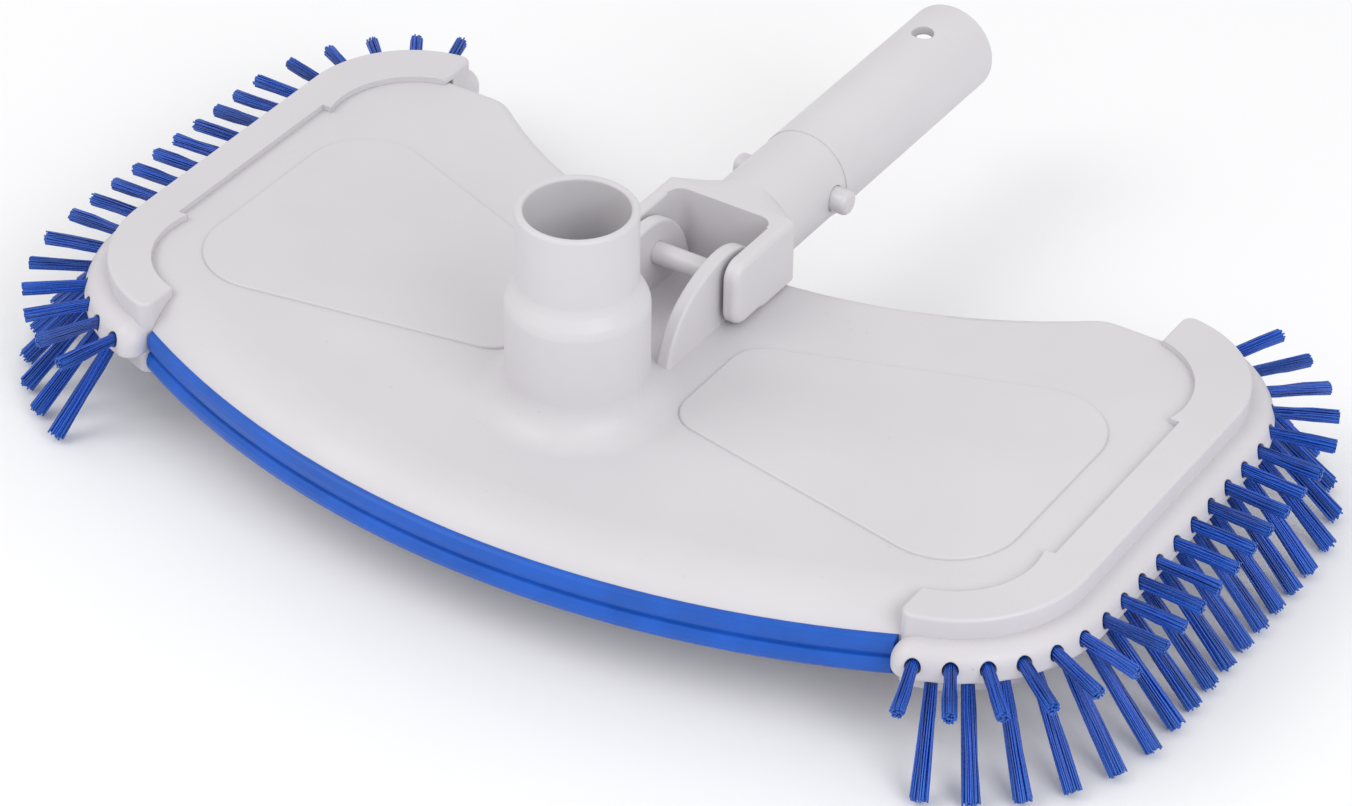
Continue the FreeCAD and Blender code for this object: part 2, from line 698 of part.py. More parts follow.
def yoke_arm():
    """The right arm, with a round front end and a heel that rests on the body."""
    solid = side_prism(
        [
            (ARM_FRONT_Y, ARM_BOTTOM_Z),
            (HEEL_FRONT_Y - 3, ARM_BOTTOM_Z),
            (HEEL_FRONT_Y, HEEL_Z),
            (YOKE_REAR_Y, HEEL_Z),
            (YOKE_REAR_Y, ARM_TOP_Z),
            (ARM_FRONT_Y, ARM_TOP_Z),
        ],
        ARM_INNER_X,
        ARM_OUTER_X,
    )

    def front_corner(edge):
        box = edge.BoundBox
        return box.YLength < 1e-6 and box.ZLength < 1e-6 and middle(edge).y < ARM_FRONT_Y + 1

    solid = fillet_where(solid, ARM_CORNER_R, front_corner)

    def outer_rim(edge):
        box = edge.BoundBox
        return box.XLength < 1e-6 and abs(box.XMin - ARM_OUTER_X) < 1e-3 and box.YMin < YOKE_REAR_Y - 1

    solid = fillet_where(solid, NECK_CORNER_R, outer_rim)
    return fillet_where(solid, ARM_INNER_ROUND, lambda e: is_level(e, ARM_TOP_Z) and near_x(e, ARM_INNER_X))


def ring(y, points, middles):
    """A closed wire across the handle: each point is joined to the next by a line or by an arc."""
    edges = []
    for i, (x, z) in enumerate(points):
        x2, z2 = points[(i + 1) % len(points)]
        if middles[i] is None:
            edges.append(Part.LineSegment(V(x, y, z), V(x2, y, z2)).toShape())
        else:
            mid = V(middles[i][0], y, middles[i][1])
            edges.append(Part.Arc(V(x, y, z), mid, V(x2, y, z2)).toShape())
    return Part.Wire(edges)


def neck():
    """The yoke's rear part, which turns from a rounded rectangle into the round tube."""
    half_x, low, high, corner = ARM_OUTER_X, HEEL_Z, ARM_TOP_Z, NECK_CORNER_R
    cut = corner * (1 - math.sqrt(0.5))
    corners = []
    middles = []
    for side_x, side_z in ((1, 1), (-1, 1), (-1, -1), (1, -1)):
        z = high if side_z > 0 else low
        at_side = (side_x * half_x, z - side_z * corner)
        at_level = (side_x * (half_x - corner), z)
        corners += [at_side, at_level] if side_x * side_z > 0 else [at_level, at_side]
        middles += [(side_x * (half_x - cut), z - side_z * cut), None]
    first = ring(YOKE_REAR_Y, corners, middles)

    def on_tube(degrees):
        angle = math.radians(degrees)
        radius = TUBE_R - TUBE_RELIEF
        return radius * math.cos(angle), TUBE_Z + radius * math.sin(angle)

    angles = [25, 50, 130, 155, 205, 230, 310, 335]
    next_angles = angles[1:] + [angles[0] + 360]
    halfway = [on_tube((a + b) / 2) for a, b in zip(angles, next_angles)]
    second = ring(TUBE_START_Y, [on_tube(a) for a in angles], halfway)
    return Part.makeLoft([first, second], True, True)


def along_tube(radius, y0, y1):
    return Part.makeCylinder(radius, y1 - y0, V(0, y0, TUBE_Z), V(0, 1, 0))


def handle():
    arm = yoke_arm()
    half = ARM_INNER_X + 1
    inner_y = YOKE_REAR_Y - YOKE_WALL
    back = block(-half, half, inner_y - YOKE_INNER_R, YOKE_REAR_Y, HEEL_Z, ARM_TOP_Z)
    recess = block(-ARM_INNER_X, ARM_INNER_X, HINGE_Y, inner_y, 0, 60)
    back = back.cut(fillet_where(recess, YOKE_INNER_R, lambda e: is_corner(e, ARM_INNER_X, inner_y)))
    tube = along_tube(TUBE_R, TUBE_RELIEF_END_Y, TUBE_END_Y)
    relieved = along_tube(TUBE_R - TUBE_RELIEF, TUBE_START_Y, TUBE_RELIEF_END_Y)
    solid = fused([arm, mirrored(arm), back, neck(), relieved, tube])
    solid = solid.cut(along_tube(TUBE_BORE_R, TUBE_BORE_START_Y, TUBE_END_Y + 1))
    solid = solid.cut(cylinder(0, LOCK_HOLE_Y, 0, 60, LOCK_HOLE_R))
    hole_r = BUTTON_R + BUTTON_GAP
    solid = solid.cut(Part.makeCylinder(hole_r, 60, V(-30, BUTTON_Y, TUBE_Z), V(1, 0, 0)))
    pin_half = PIN_HOLE_HALF_LENGTH
    solid = solid.cut(Part.makeCylinder(PIN_R, 2 * pin_half, V(-pin_half, HINGE_Y, HINGE_Z), V(1, 0, 0)))
    end_rim = [e for e in solid.Edges
               if e.BoundBox.YLength < 1e-6 and abs(e.BoundBox.YMin - TUBE_END_Y) < 1e-3]
    return solid.makeFillet(0.6, end_rim)


def hinge_pin():
    pin = Part.makeCylinder(PIN_R, 2 * PIN_HALF_LENGTH, V(-PIN_HALF_LENGTH, HINGE_Y, HINGE_Z), V(1, 0, 0))
    return pin.makeChamfer(0.5, [e for e in pin.Edges if e.BoundBox.XLength < 1e-6])


def lock_button():
    """The right button: a domed stem with a flange that stops it inside the tube."""
    out = V(1, 0, 0)
    base = BUTTON_FLANGE_X[0]
    flange = Part.makeCylinder(BUTTON_FLANGE_R, BUTTON_FLANGE_X[1] - base, V(base, BUTTON_Y, TUBE_Z), out)
    stem = Part.makeCylinder(BUTTON_R, BUTTON_TIP_X - base, V(base, BUTTON_Y, TUBE_Z), out)
    stem = fillet_where(stem, BUTTON_DOME, lambda e: e.BoundBox.XMin > BUTTON_TIP_X - 0.1)
    return fused([flange, stem])


def v_spring():
    """A spring strip bent to a V, whose two legs press the buttons outwards."""
    inner_x = BUTTON_FLANGE_X[0] - 0.05
    centre = V(0, SPRING_BEND_Y, 0)
    leg_start = V(SPRING_BEND_R, SPRING_BEND_Y, 0)
    knee = V(inner_x, BUTTON_Y - BUTTON_FLANGE_R - 1, 0)
    leg_end = V(inner_x, SPRING_END_Y, 0)
    apex = centre - V(0, SPRING_BEND_R, 0)
    outer = [
        Part.Arc(V(-leg_start.x, leg_start.y, 0), apex, leg_start).toShape(),
        Part.LineSegment(leg_start, knee).toShape(),
        Part.LineSegment(knee, leg_end).toShape(),
        Part.LineSegment(leg_end, leg_end - V(SPRING_THICKNESS, 0, 0)).toShape(),
    ]
    slim = SPRING_THICKNESS
    inner_knee = V(knee.x - slim, knee.y + 0.2, 0)
    inner_start = V(leg_start.x - slim, leg_start.y, 0)
    outer.append(Part.LineSegment(leg_end - V(slim, 0, 0), inner_knee).toShape())
    outer.append(Part.LineSegment(inner_knee, inner_start).toShape())
    inner_apex = apex + V(0, slim, 0)
    outer.append(Part.Arc(inner_start, inner_apex, V(-inner_start.x, inner_start.y, 0)).toShape())
    left = [V(-inner_start.x, inner_start.y, 0), V(-inner_knee.x, inner_knee.y, 0),
            V(-leg_end.x + slim, leg_end.y, 0), V(-leg_end.x, leg_end.y, 0), V(-knee.x, knee.y, 0),
            V(-leg_start.x, leg_start.y, 0)]
    outer += [Part.LineSegment(a, b).toShape() for a, b in zip(left[:-1], left[1:])]
    return prism(outer, TUBE_Z - SPRING_HALF_WIDTH, TUBE_Z + SPRING_HALF_WIDTH)


def weight():
    solid = weight_frame(0, PLATE_THICKNESS, PLATE_THICKNESS + WEIGHT_HEIGHT)
    top = PLATE_THICKNESS + WEIGHT_HEIGHT
    return fillet_where(solid, 1.0, lambda e: is_level(e, top))


def main():
    os.makedirs("parts", exist_ok=True)
    export("body_shell", body_shell())
    export("base_plate", base_plate())
    export("front_bumper", front_bumper())
    cap = brush_holder()
    export("right_brush_holder", cap)
    export("left_brush_holder", mirrored(cap))
    upper = Part.makeCompound(upper_tufts())
    lower = Part.makeCompound(lower_tufts())
    export("right_upper_bristles", upper)
    export("left_upper_bristles", mirrored(upper))
    export("right_lower_bristles", lower)
    export("left_lower_bristles", mirrored(lower))
    export("front_floor_bristles", Part.makeCompound(floor_tufts(front_row())))
    export("rear_floor_bristles", Part.makeCompound(floor_tufts(rear_row())))
    export("right_weight", weight())
    export("left_weight", mirrored(weight()))
    plate_screws = [screw(x, y, 0, PLATE_SCREW_LENGTH) for x, y in PLATE_SCREWS]
    export("base_plate_screws", Part.makeCompound(plate_screws))
    cap_screws = [screw(sign * x, y, CAP_LIP_Z, CAP_SCREW_LENGTH) for sign in (-1, 1) for x, y in CAP_SCREWS]
    export("holder_screws", Part.makeCompound(cap_screws))
    export("handle", handle())
    export("hinge_pin", hinge_pin())
    button = lock_button()
    export("right_lock_button", button)
    export("left_lock_button", mirrored(button))
    export("v_spring", v_spring())


main()
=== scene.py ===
import math
import random

import bmesh
import bpy
import numpy
from mathutils import Matrix, Vector


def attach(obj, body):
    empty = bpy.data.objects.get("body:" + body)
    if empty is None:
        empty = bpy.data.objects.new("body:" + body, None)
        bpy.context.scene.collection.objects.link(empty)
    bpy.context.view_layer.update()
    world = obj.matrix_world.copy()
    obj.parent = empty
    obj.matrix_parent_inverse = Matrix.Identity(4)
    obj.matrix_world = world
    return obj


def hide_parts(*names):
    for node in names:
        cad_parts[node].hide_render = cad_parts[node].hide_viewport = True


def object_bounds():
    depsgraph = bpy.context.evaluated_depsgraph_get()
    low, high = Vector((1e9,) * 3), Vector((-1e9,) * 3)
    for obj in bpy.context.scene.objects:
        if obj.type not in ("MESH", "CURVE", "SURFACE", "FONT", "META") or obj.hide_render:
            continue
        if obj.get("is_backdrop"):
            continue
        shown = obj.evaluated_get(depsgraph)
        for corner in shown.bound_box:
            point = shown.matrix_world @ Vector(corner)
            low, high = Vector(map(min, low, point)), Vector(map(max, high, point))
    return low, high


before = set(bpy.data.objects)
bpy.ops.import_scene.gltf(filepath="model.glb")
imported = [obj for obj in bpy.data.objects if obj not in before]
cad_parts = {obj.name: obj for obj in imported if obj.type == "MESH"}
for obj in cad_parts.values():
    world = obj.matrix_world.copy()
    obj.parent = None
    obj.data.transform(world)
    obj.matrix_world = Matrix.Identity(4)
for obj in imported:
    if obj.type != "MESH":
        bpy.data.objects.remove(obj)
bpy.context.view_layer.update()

bl_info = {
    "name": "Pool vacuum head",
    "version": (1, 0, 0),
    "blender": (4, 5, 0),
    "location": "View3D > Sidebar > Vacuum Head",
    "description": "Builds a hand pool vacuum head with side brushes around its packed frame",
    "category": "Object",
}

MM = 0.001

# finishes
EDGE_ROUND = 0.35 * MM
SPECK_COLOUR = (0.62, 0.58, 0.55)
BRISTLE_TIP_COLOUR = (0.02, 0.13, 0.55)
COATING_COLOUR = (0.16, 0.17, 0.18)
SCREW_COLOUR = (0.55, 0.55, 0.56)
SPRING_COLOUR = (0.52, 0.53, 0.54)
ALONG_Z = (1.0, 1.0, 0.05)
ALONG_Y = (1.0, 0.04, 1.0)

# one filament, widened at each step up its length, and the rings of its bundle
FILAMENT_SIDES = 6
FILAMENT_SPREAD = (1.1, 1.3, 1.45)
FILAMENT_SMOOTH_ANGLE = math.radians(70)
BUNDLE_RINGS = 4
ROW_STEP = math.sqrt(0.75)

# reading the cones of the CAD bristles
HEIGHT_TOLERANCE = 1e-5
WELD_DISTANCE = 1e-6
END_BAND = 0.1 * MM
BRISTLE_NODES = {
    "upper": ("left_upper_bristles", "right_upper_bristles"),
    "lower": ("left_lower_bristles", "right_lower_bristles"),
    "floor": ("front_floor_bristles", "rear_floor_bristles"),
}

# studio
FLOOR_SIZE = 14.0
KEY_LIGHT = {"place": (-1.1, -0.9, 1.5), "size": (1.2, 1.2), "tone": (1.0, 0.99, 0.98)}
FILL_LIGHT = {"place": (1.4, -0.6, 1.0), "size": (1.0, 1.0), "tone": (0.98, 0.99, 1.0)}
SENSOR_WIDTH = 36.0
CLIP_END = 50.0


def colour(red, green, blue, name, description):
    return bpy.props.FloatVectorProperty(
        name=name,
        description=description,
        subtype="COLOR",
        size=3,
        min=0.0,
        max=1.0,
        default=(red, green, blue),
    )


class VacuumHeadFinish(bpy.types.PropertyGroup):
    shell_colour: colour(0.625, 0.604, 0.632, "Shell colour", "Moulded body and base plate")
    holder_colour: colour(0.622, 0.598, 0.628, "Brush holder colour", "Moulded side brush holders")
    handle_colour: colour(0.64, 0.618, 0.645, "Handle colour", "Moulded handle, pin and buttons")
    bumper_colour: colour(0.004, 0.095, 0.50, "Bumper colour", "Soft vinyl front bumper")
    bristle_colour: colour(0.003, 0.058, 0.37, "Bristle colour", "Nylon brush filaments")


class VacuumHeadBristles(bpy.types.PropertyGroup):
    filament_radius: bpy.props.FloatProperty(
        name="Filament radius", description="Radius of one nylon filament",
        default=0.185 * MM, min=0.05 * MM, subtype="DISTANCE", unit="LENGTH")
    filament_pitch: bpy.props.FloatProperty(
        name="Filament pitch", description="Distance between filaments at a tuft's root",
        default=0.385 * MM, min=0.1 * MM, subtype="DISTANCE", unit="LENGTH")
    bow: bpy.props.FloatProperty(
        name="Bow", description="How far the middle of a filament stands off the straight line",
        default=0.2 * MM, min=0.0, subtype="DISTANCE", unit="LENGTH")
    stray: bpy.props.FloatProperty(
        name="Stray", description="How far a filament's tip may wander from its place",
        default=0.16 * MM, min=0.0, subtype="DISTANCE", unit="LENGTH")
    cut_variation: bpy.props.FloatProperty(
        name="Cut variation", description="Largest share of its length that a filament may be short by",
        default=0.035, min=0.0, max=0.5)
    variants: bpy.props.IntProperty(
        name="Variants", description="Number of different tufts modelled for each kind", default=3, min=1)
    seed: bpy.props.IntProperty(
        name="Seed", description="Start of the filaments' random order", default=7)


class VacuumHeadStage(bpy.types.PropertyGroup):
    floor_colour: colour(0.90, 0.90, 0.91, "Floor colour", "Pale studio floor")
    key_power: bpy.props.FloatProperty(
        name="Key light", description="Power of the large soft light", default=11.0, min=0.0, unit="POWER")
    fill_power: bpy.props.FloatProperty(
        name="Fill light", description="Power of the fill light", default=12.0, min=0.0, unit="POWER")
    sky_strength: bpy.props.FloatProperty(
        name="Sky strength", description="Strength of the even studio light", default=0.8, min=0.0)
    camera_azimuth: bpy.props.FloatProperty(
        name="Camera azimuth", description="Turn of the camera about the upright axis",
        default=math.radians(32.45), subtype="ANGLE", unit="ROTATION")
    camera_elevation: bpy.props.FloatProperty(
        name="Camera elevation", description="Height of the camera above the horizon",
        default=math.radians(36.06), subtype="ANGLE", unit="ROTATION")
    camera_roll: bpy.props.FloatProperty(
        name="Camera roll", description="Turn of the camera about its own line of sight",
        default=math.radians(0.78), subtype="ANGLE", unit="ROTATION")
    camera_distance: bpy.props.FloatProperty(
        name="Camera distance", description="From the camera to the point that it looks at",
        default=1.05987, subtype="DISTANCE", unit="LENGTH")
    camera_target: bpy.props.FloatVectorProperty(
        name="Camera target", description="Point that the camera looks at",
        default=(0.06528, -0.05501, -0.00112), subtype="TRANSLATION", unit="LENGTH")
    camera_lens: bpy.props.FloatProperty(
        name="Lens", description="Focal length on a 36 mm wide sensor", default=118.8, unit="CAMERA")


def new_material(name):
    material = bpy.data.materials.new(name)
    material.use_nodes = True
    tree = material.node_tree
    shader = tree.nodes["Principled BSDF"]
    return material, tree, shader


def node(tree, kind, **values):
    made = tree.nodes.new(kind)
    for key, value in values.items():
        setattr(made, key, value)
    return made


def object_coordinates(tree, scale=(1.0, 1.0, 1.0)):
    source = node(tree, "ShaderNodeTexCoord")
    mapping = node(tree, "ShaderNodeMapping")
    mapping.inputs["Scale"].default_value = scale
    tree.links.new(source.outputs["Object"], mapping.inputs["Vector"])
    return mapping.outputs["Vector"]


def noise(tree, vector, scale, detail=3.0, roughness=0.5):
    made = node(tree, "ShaderNodeTexNoise")
    made.inputs["Scale"].default_value = scale
    made.inputs["Detail"].default_value = detail
    made.inputs["Roughness"].default_value = roughness
    tree.links.new(vector, made.inputs["Vector"])
    return made.outputs["Fac"]


def ramp(tree, value, low, high, dark, light):
    made = node(tree, "ShaderNodeMapRange", interpolation_type="SMOOTHSTEP")
    made.inputs["From Min"].default_value = low
    made.inputs["From Max"].default_value = high
    made.inputs["To Min"].default_value = dark
    made.inputs["To Max"].default_value = light
    tree.links.new(value, made.inputs["Value"])
    return made.outputs["Result"]


def mixed_colour(tree, factor, first, second):
    made = node(tree, "ShaderNodeMix", data_type="RGBA")
    made.inputs[6].default_value = (*first, 1.0)
    made.inputs[7].default_value = (*second, 1.0)
    tree.links.new(factor, made.inputs["Factor"])
    return made.outputs[2]


def bump(tree, height, strength, distance, normal=None):
    made = node(tree, "ShaderNodeBump")
    made.inputs["Strength"].default_value = strength
    made.inputs["Distance"].default_value = distance
    tree.links.new(height, made.inputs["Height"])
    if normal is not None:
        tree.links.new(normal, made.inputs["Normal"])
    return made.outputs["Normal"]


def shaded(base, factor):
    return tuple(min(1.0, channel * factor) for channel in base)


def soft_edges(tree, radius):
    """A normal that rounds the sharp edges of the mesh where light meets them."""
    made = node(tree, "ShaderNodeBevel", samples=4)
    made.inputs["Radius"].default_value = radius
    return made.outputs["Normal"]


def moulded_plastic(name, base, grain_mm=0.35, roughness=0.42):
    """Satin moulding: flow clouds, fine spark grain, sink waviness, handling scuffs and soft edges."""
    material, tree, shader = new_material(name)
    vector = object_coordinates(tree)
    flow = noise(tree, vector, 14.0, 4.0, 0.55)
    clouds = ramp(tree, flow, 0.3, 0.7, 0.0, 1.0)
    tint = mixed_colour(tree, clouds, shaded(base, 0.97), shaded(base, 1.02))
    specks = noise(tree, vector, 420.0, 2.0, 0.7)
    speckled = node(tree, "ShaderNodeMix", data_type="RGBA", blend_type="MULTIPLY")
    tree.links.new(ramp(tree, specks, 0.72, 0.8, 0.0, 0.35), speckled.inputs["Factor"])
    tree.links.new(tint, speckled.inputs[6])
    speckled.inputs[7].default_value = (*SPECK_COLOUR, 1.0)
    tree.links.new(speckled.outputs[2], shader.inputs["Base Color"])

    sheen_patches = noise(tree, vector, 60.0, 5.0, 0.6)
    satin = ramp(tree, sheen_patches, 0.3, 0.75, roughness - 0.05, roughness + 0.08)
    scuffs = noise(tree, object_coordinates(tree, (1.0, 9.0, 1.0)), 75.0, 6.0, 0.7)
    scuffed = node(tree, "ShaderNodeMath", operation="ADD")
    tree.links.new(satin, scuffed.inputs[0])
    tree.links.new(ramp(tree, scuffs, 0.6, 0.72, 0.0, 0.12), scuffed.inputs[1])
    tree.links.new(scuffed.outputs["Value"], shader.inputs["Roughness"])

    wobble = noise(tree, vector, 45.0, 2.0, 0.5)
    grain = noise(tree, vector, 1.0 / (grain_mm * MM), 2.0, 0.6)
    soft = bump(tree, wobble, 0.25, 0.35 * MM, soft_edges(tree, EDGE_ROUND))
    scraped = bump(tree, scuffs, 0.12, 0.06 * MM, soft)
    tree.links.new(bump(tree, grain, 0.22, 0.05 * MM, scraped), shader.inputs["Normal"])
    shader.inputs["IOR"].default_value = 1.49
    return material


def soft_vinyl(name, base):
    """Soft vinyl extrusion: fine drawing lines around the arc, a dull bloom and a little dust."""
    material, tree, shader = new_material(name)
    vector = object_coordinates(tree)
    bloom = noise(tree, vector, 55.0, 5.0, 0.6)
    mottle = ramp(tree, bloom, 0.35, 0.75, 0.0, 1.0)
    tint = mixed_colour(tree, mottle, shaded(base, 0.88), shaded(base, 1.12))
    tree.links.new(tint, shader.inputs["Base Color"])
    tree.links.new(ramp(tree, bloom, 0.3, 0.75, 0.34, 0.5), shader.inputs["Roughness"])
    lines = noise(tree, object_coordinates(tree, (0.02, 0.02, 1.0)), 1600.0, 2.0, 0.5)
    drawn = bump(tree, lines, 0.18, 0.08 * MM, soft_edges(tree, EDGE_ROUND))
    grain = noise(tree, vector, 2200.0, 2.0, 0.6)
    tree.links.new(bump(tree, grain, 0.15, 0.03 * MM, drawn), shader.inputs["Normal"])
    shader.inputs["Specular IOR Level"].default_value = 0.4
    return material


def coated_steel(name, base):
    """Dull dip coating over steel: orange peel, a few thin spots and rubbed patches."""
    material, tree, shader = new_material(name)
    vector = object_coordinates(tree)
    patches = noise(tree, vector, 70.0, 5.0, 0.65)
    mottle = ramp(tree, patches, 0.35, 0.75, 0.0, 1.0)
    tint = mixed_colour(tree, mottle, shaded(base, 0.8), shaded(base, 1.35))
    tree.links.new(tint, shader.inputs["Base Color"])
    tree.links.new(ramp(tree, patches, 0.3, 0.75, 0.4, 0.65), shader.inputs["Roughness"])
    peel = noise(tree, vector, 650.0, 2.0, 0.5)
    tree.links.new(bump(tree, peel, 0.3, 0.12 * MM, soft_edges(tree, EDGE_ROUND)), shader.inputs["Normal"])
    return material


def brushed_steel(name, base, direction):
    """Stainless steel with fine lines drawn out along one direction and dull water spots."""
    material, tree, shader = new_material(name)
    lines = noise(tree, object_coordinates(tree, direction), 900.0, 3.0, 0.7)
    spots = noise(tree, object_coordinates(tree), 240.0, 4.0, 0.6)
    tint = mixed_colour(tree, lines, shaded(base, 0.85), shaded(base, 1.1))
    tree.links.new(tint, shader.inputs["Base Color"])
    tree.links.new(ramp(tree, spots, 0.4, 0.75, 0.24, 0.42), shader.inputs["Roughness"])
    tree.links.new(bump(tree, lines, 0.25, 0.03 * MM), shader.inputs["Normal"])
    shader.inputs["Metallic"].default_value = 1.0
    return material


def give(node_name, material):
    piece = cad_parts[node_name]
    piece.data.materials.clear()
    piece.data.materials.append(material)


class VACUUMHEAD_OT_finishes(bpy.types.Operator):
    """Give every carried-over part its finish"""

    bl_idname = "vacuum_head.finishes"
    bl_label = "Finishes"

    def execute(self, context):
        colours = context.scene.vacuum_head_finish
        shell = moulded_plastic("shell_plastic", tuple(colours.shell_colour))
        holder = moulded_plastic("holder_plastic", tuple(colours.holder_colour))
        handle = moulded_plastic("handle_plastic", tuple(colours.handle_colour))
        pin = moulded_plastic("pin_plastic", tuple(colours.handle_colour), grain_mm=0.6, roughness=0.3)
        coating = coated_steel("weight_coating", COATING_COLOUR)
        steel = brushed_steel("screw_steel", SCREW_COLOUR, ALONG_Z)
        strip = brushed_steel("spring_steel", SPRING_COLOUR, ALONG_Y)
        for name in ("body_shell", "base_plate"):
            give(name, shell)
        for name in ("left_brush_holder", "right_brush_holder"):
            give(name, holder)
        give("handle", handle)
        for name in ("hinge_pin", "left_lock_button", "right_lock_button"):
            give(name, pin)
        give("front_bumper", soft_vinyl("bumper_vinyl", tuple(colours.bumper_colour)))
        for name in ("left_weight", "right_weight"):
            give(name, coating)
        for name in ("base_plate_screws", "holder_screws"):
            give(name, steel)
        give("v_spring", strip)
        return {"FINISHED"}


def select_height(obj, height):
    """Select the vertices of the mesh in edit mode that lie at one height."""
    shape = bmesh.from_edit_mesh(obj.data)
    for vert in shape.verts:
        vert.select = abs(vert.co.z - height) < HEIGHT_TOLERANCE
    shape.select_flush_mode()
    bmesh.update_edit_mesh(obj.data)


def model_filament(name, radius, bows):
    """One hair of unit length, standing on the origin, bowed a little and cut square at its end."""
    bpy.ops.object.select_all(action="DESELECT")
    bpy.ops.mesh.primitive_cylinder_add(
        vertices=FILAMENT_SIDES, radius=radius, depth=1.0, location=(0, 0, 0.5))
    hair = bpy.context.object
    hair.name = name
    bpy.ops.object.transform_apply(location=True, rotation=True, scale=True)
    bpy.ops.object.mode_set(mode="EDIT")
    bpy.ops.mesh.select_mode(type="VERT")
    steps = len(bows) + 1
    for i in range(1, steps):
        bpy.ops.mesh.select_all(action="SELECT")
        bpy.ops.mesh.bisect(plane_co=(0, 0, i / steps), plane_no=(0, 0, 1))
    for i, spread in enumerate(FILAMENT_SPREAD, 1):
        select_height(hair, i / steps)
        bpy.ops.transform.resize(value=(spread, spread, 1.0))
    for i, bow in enumerate(bows, 1):
        select_height(hair, i / steps)
        bpy.ops.transform.translate(value=(bow, 0, 0))
    bpy.ops.object.mode_set(mode="OBJECT")
    bpy.ops.object.shade_smooth_by_angle(angle=FILAMENT_SMOOTH_ANGLE)
    reach = hair.data.attributes.new("reach", "FLOAT", "POINT")
    reach.data.foreach_set("value", [vert.co.z for vert in hair.data.vertices])
    return hair


def copied(source, matrix):
    """A copy with its own mesh, moved in the mesh itself."""
    made = source.copy()
    made.data = source.data.copy()
    made.data.transform(matrix)
    bpy.context.collection.objects.link(made)
    return made


def joined(pieces, name):
    bpy.ops.object.select_all(action="DESELECT")
    for piece in pieces:
        piece.select_set(True)
    bpy.context.view_layer.objects.active = pieces[0]
    if len(pieces) > 1:
        bpy.ops.object.join()
    made = bpy.context.view_layer.objects.active
    made.name = name
    made.data.name = name
    return made


def hexagon_places(pitch):
    """Places in a close-packed bundle, row by row, without its six outer corners."""
    for row in range(-BUNDLE_RINGS, BUNDLE_RINGS + 1):
        for column in range(-BUNDLE_RINGS, BUNDLE_RINGS + 1):
            if abs(row + column) > BUNDLE_RINGS:
                continue
            place = Vector((column + row / 2, row * ROW_STEP, 0)) * pitch
            if place.length < pitch * (BUNDLE_RINGS - 0.1):
                yield place


def model_tuft(name, hairs, settings, flare, draw):
    """A bundle of hairs of unit length that spreads from its root to its tip."""
    pieces = []
    for place in hexagon_places(settings.filament_pitch):
        stray = Vector((draw.uniform(-1, 1), draw.uniform(-1, 1), 0)) * settings.stray
        lean = place * (flare - 1) + stray
        height = 1 - draw.random() * settings.cut_variation
        shear = Matrix((
            (1, 0, lean.x, place.x),
            (0, 1, lean.y, place.y),
            (0, 0, height, 0),
            (0, 0, 0, 1),
        ))
        turn = Matrix.Rotation(draw.uniform(0, 2 * math.pi), 4, "Z")
        piece = copied(draw.choice(hairs), shear @ turn)
        tone = piece.data.attributes.new("tone", "FLOAT", "POINT")
        tone.data.foreach_set("value", [draw.random()] * len(piece.data.vertices))
        pieces.append(piece)
    return joined(pieces, name)


def tuft_axes(node_name):
    """Root, tip, root radius and tip radius of every cone in a CAD node of bristles."""
    shape = bmesh.new()
    shape.from_mesh(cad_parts[node_name].data)
    bmesh.ops.remove_doubles(shape, verts=shape.verts, dist=WELD_DISTANCE)
    waiting = set(shape.verts)
    axes = []
    while waiting:
        reached = [waiting.pop()]
        for vert in reached:
            near = {edge.other_vert(vert) for edge in vert.link_edges} & waiting
            waiting -= near
            reached.extend(near)
        points = numpy.array([vert.co[:] for vert in reached])
        offsets = points - points.mean(axis=0)
        along = offsets @ numpy.linalg.svd(offsets, full_matrices=False)[2][0]
        ends = []
        for at_end in (along < along.min() + END_BAND, along > along.max() - END_BAND):
            ring = points[at_end]
            centre = (ring.min(axis=0) + ring.max(axis=0)) / 2
            ends.append((float(numpy.linalg.norm(ring - centre, axis=1).max()), Vector(centre)))
        ends.sort(key=lambda end: end[0])
        axes.append((ends[0][1], ends[1][1], ends[0][0], ends[1][0]))
    shape.free()
    axes.sort(key=lambda axis: (round(axis[0].y, 5), round(axis[0].x, 5)))
    return axes


def set_tufts(node_name, tufts, draw, material):
    """Stand a tuft in the place of every cone of one CAD node, as one object."""
    pieces = []
    for root, tip, _, _ in tuft_axes(node_name):
        axis = tip - root
        basis = axis.to_track_quat("Z", "X").to_matrix().to_4x4()
        turn = Matrix.Rotation(draw.uniform(0, 2 * math.pi), 4, "Z")
        stretch = Matrix.Diagonal((1.0, 1.0, axis.length, 1.0))
        pieces.append(copied(draw.choice(tufts), Matrix.Translation(root) @ basis @ turn @ stretch))
    made = joined(pieces, node_name.replace("bristles", "filaments"))
    made.data.materials.clear()
    made.data.materials.append(material)
    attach(made, "head")
    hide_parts(node_name)


